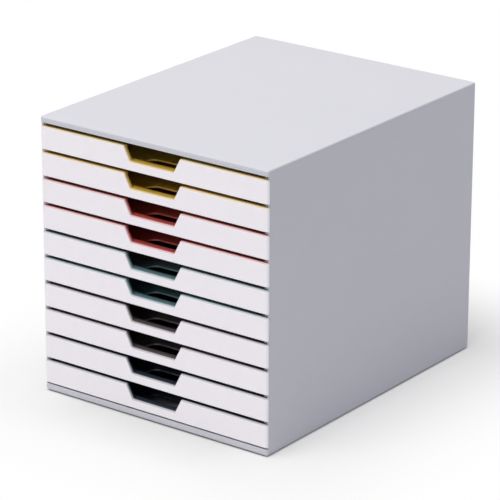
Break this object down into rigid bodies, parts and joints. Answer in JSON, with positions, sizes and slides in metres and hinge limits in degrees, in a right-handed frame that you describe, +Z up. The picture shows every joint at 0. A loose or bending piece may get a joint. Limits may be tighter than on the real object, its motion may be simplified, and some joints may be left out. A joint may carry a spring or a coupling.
{
  "type": "desktop drawer box",
  "caption": "Desktop document box: a closed plastic housing with shallow full-width drawers that slide out, each a coloured tray behind a light front with a finger cut-out.",
  "frame": {"origin": "on the desk under the middle of the box's footprint", "axes": "drawers open towards -Y, +X to the right seen from the front, +Z up"},
  "size_m": [0.28, 0.356, 0.292],
  "materials": {
    "housing_grey": "light cool grey moulded polystyrene, fine satin grain",
    "front_white": "off-white moulded polystyrene, satin",
    "tray_mustard": "mustard yellow moulded polystyrene, satin",
    "tray_coral": "coral red moulded polystyrene, satin",
    "tray_petrol": "petrol moulded polystyrene, satin",
    "tray_brown_grey": "brown grey moulded polystyrene, satin",
    "tray_navy": "navy moulded polystyrene, satin",
    "foot_rubber": "dull grey rubber"
  },
  "bodies": {
    "root": {"housing": "housing_grey", "feet": "foot_rubber"},
    "drawer_1": {"drawer_1_tray": "tray_mustard", "drawer_1_front": "front_white"},
    "drawer_2": {"drawer_2_tray": "tray_mustard", "drawer_2_front": "front_white"},
    "drawer_3": {"drawer_3_tray": "tray_coral", "drawer_3_front": "front_white"},
    "drawer_4": {"drawer_4_tray": "tray_coral", "drawer_4_front": "front_white"},
    "drawer_5": {"drawer_5_tray": "tray_petrol", "drawer_5_front": "front_white"},
    "drawer_6": {"drawer_6_tray": "tray_petrol", "drawer_6_front": "front_white"},
    "drawer_7": {"drawer_7_tray": "tray_brown_grey", "drawer_7_front": "front_white"},
    "drawer_8": {"drawer_8_tray": "tray_brown_grey", "drawer_8_front": "front_white"},
    "drawer_9": {"drawer_9_tray": "tray_navy", "drawer_9_front": "front_white"},
    "drawer_10": {"drawer_10_tray": "tray_navy", "drawer_10_front": "front_white"}
  },
  "joints": [
    {"name": "drawer_1_slide", "type": "slide", "parent": "root", "child": "drawer_1", "axis": [0, -1, 0], "range_m": [0, 0.236]},
    {"name": "drawer_2_slide", "type": "slide", "parent": "root", "child": "drawer_2", "axis": [0, -1, 0], "range_m": [0, 0.236]},
    {"name": "drawer_3_slide", "type": "slide", "parent": "root", "child": "drawer_3", "axis": [0, -1, 0], "range_m": [0, 0.236]},
    {"name": "drawer_4_slide", "type": "slide", "parent": "root", "child": "drawer_4", "axis": [0, -1, 0], "range_m": [0, 0.236]},
    {"name": "drawer_5_slide", "type": "slide", "parent": "root", "child": "drawer_5", "axis": [0, -1, 0], "range_m": [0, 0.236]},
    {"name": "drawer_6_slide", "type": "slide", "parent": "root", "child": "drawer_6", "axis": [0, -1, 0], "range_m": [0, 0.236]},
    {"name": "drawer_7_slide", "type": "slide", "parent": "root", "child": "drawer_7", "axis": [0, -1, 0], "range_m": [0, 0.236]},
    {"name": "drawer_8_slide", "type": "slide", "parent": "root", "child": "drawer_8", "axis": [0, -1, 0], "range_m": [0, 0.236]},
    {"name": "drawer_9_slide", "type": "slide", "parent": "root", "child": "drawer_9", "axis": [0, -1, 0], "range_m": [0, 0.236]},
    {"name": "drawer_10_slide", "type": "slide", "parent": "root", "child": "drawer_10", "axis": [0, -1, 0], "range_m": [0, 0.236]}
  ]
}
